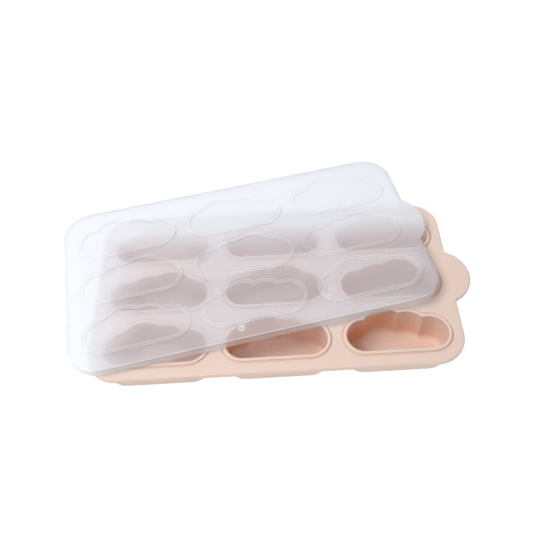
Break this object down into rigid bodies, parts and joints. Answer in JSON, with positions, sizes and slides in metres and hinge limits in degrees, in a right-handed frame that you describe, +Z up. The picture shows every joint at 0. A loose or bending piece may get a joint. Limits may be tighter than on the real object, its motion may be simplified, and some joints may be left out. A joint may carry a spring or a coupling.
{
  "type": "lidded freezer tray",
  "caption": "Shallow silicone freezer tray with cloud-shaped portion cups, a pull tab and a loose frosted lid lying askew; soft cup floors push up to free frozen food.",
  "frame": {"origin": "middle of the surface that the tray stands on, under the middle cup", "axes": "+X along the tray to its pull tab, +Y to the rounded sides of the outer rows of clouds, +Z up"},
  "size_m": [0.2721, 0.1703, 0.0344],
  "materials": {
    "silicone": "matte",
    "frosted_plastic": "frosted, translucent"
  },
  "bodies": {
    "tray": {"tray_deck": "silicone", "cup_wall_front_left": "silicone", "cup_wall_front_centre": "silicone", "cup_wall_front_right": "silicone", "cup_wall_middle_left": "silicone", "cup_wall_middle_centre": "silicone", "cup_wall_middle_right": "silicone", "cup_wall_back_left": "silicone", "cup_wall_back_centre": "silicone", "cup_wall_back_right": "silicone"},
    "floor_front_left": {"cup_floor_front_left": "silicone"},
    "floor_front_centre": {"cup_floor_front_centre": "silicone"},
    "floor_front_right": {"cup_floor_front_right": "silicone"},
    "floor_middle_left": {"cup_floor_middle_left": "silicone"},
    "floor_middle_centre": {"cup_floor_middle_centre": "silicone"},
    "floor_middle_right": {"cup_floor_middle_right": "silicone"},
    "floor_back_left": {"cup_floor_back_left": "silicone"},
    "floor_back_centre": {"cup_floor_back_centre": "silicone"},
    "floor_back_right": {"cup_floor_back_right": "silicone"},
    "lid": {"lid": "frosted_plastic"}
  },
  "joints": [
    {"name": "floor_push_front_left", "type": "slide", "parent": "tray", "child": "floor_front_left", "axis": [0, 0, 1], "range_m": [0, 0.008], "stiffness_N_per_m": 60},
    {"name": "floor_push_front_centre", "type": "slide", "parent": "tray", "child": "floor_front_centre", "axis": [0, 0, 1], "range_m": [0, 0.008], "stiffness_N_per_m": 60},
    {"name": "floor_push_front_right", "type": "slide", "parent": "tray", "child": "floor_front_right", "axis": [0, 0, 1], "range_m": [0, 0.008], "stiffness_N_per_m": 60},
    {"name": "floor_push_middle_left", "type": "slide", "parent": "tray", "child": "floor_middle_left", "axis": [0, 0, 1], "range_m": [0, 0.008], "stiffness_N_per_m": 60},
    {"name": "floor_push_middle_centre", "type": "slide", "parent": "tray", "child": "floor_middle_centre", "axis": [0, 0, 1], "range_m": [0, 0.008], "stiffness_N_per_m": 60},
    {"name": "floor_push_middle_right", "type": "slide", "parent": "tray", "child": "floor_middle_right", "axis": [0, 0, 1], "range_m": [0, 0.008], "stiffness_N_per_m": 60},
    {"name": "floor_push_back_left", "type": "slide", "parent": "tray", "child": "floor_back_left", "axis": [0, 0, 1], "range_m": [0, 0.008], "stiffness_N_per_m": 60},
    {"name": "floor_push_back_centre", "type": "slide", "parent": "tray", "child": "floor_back_centre", "axis": [0, 0, 1], "range_m": [0, 0.008], "stiffness_N_per_m": 60},
    {"name": "floor_push_back_right", "type": "slide", "parent": "tray", "child": "floor_back_right", "axis": [0, 0, 1], "range_m": [0, 0.008], "stiffness_N_per_m": 60},
    {"name": "lid_lift", "type": "slide", "parent": "tray", "child": "lid", "axis": [0, 0, 1], "range_m": [0, 0.1]}
  ]
}
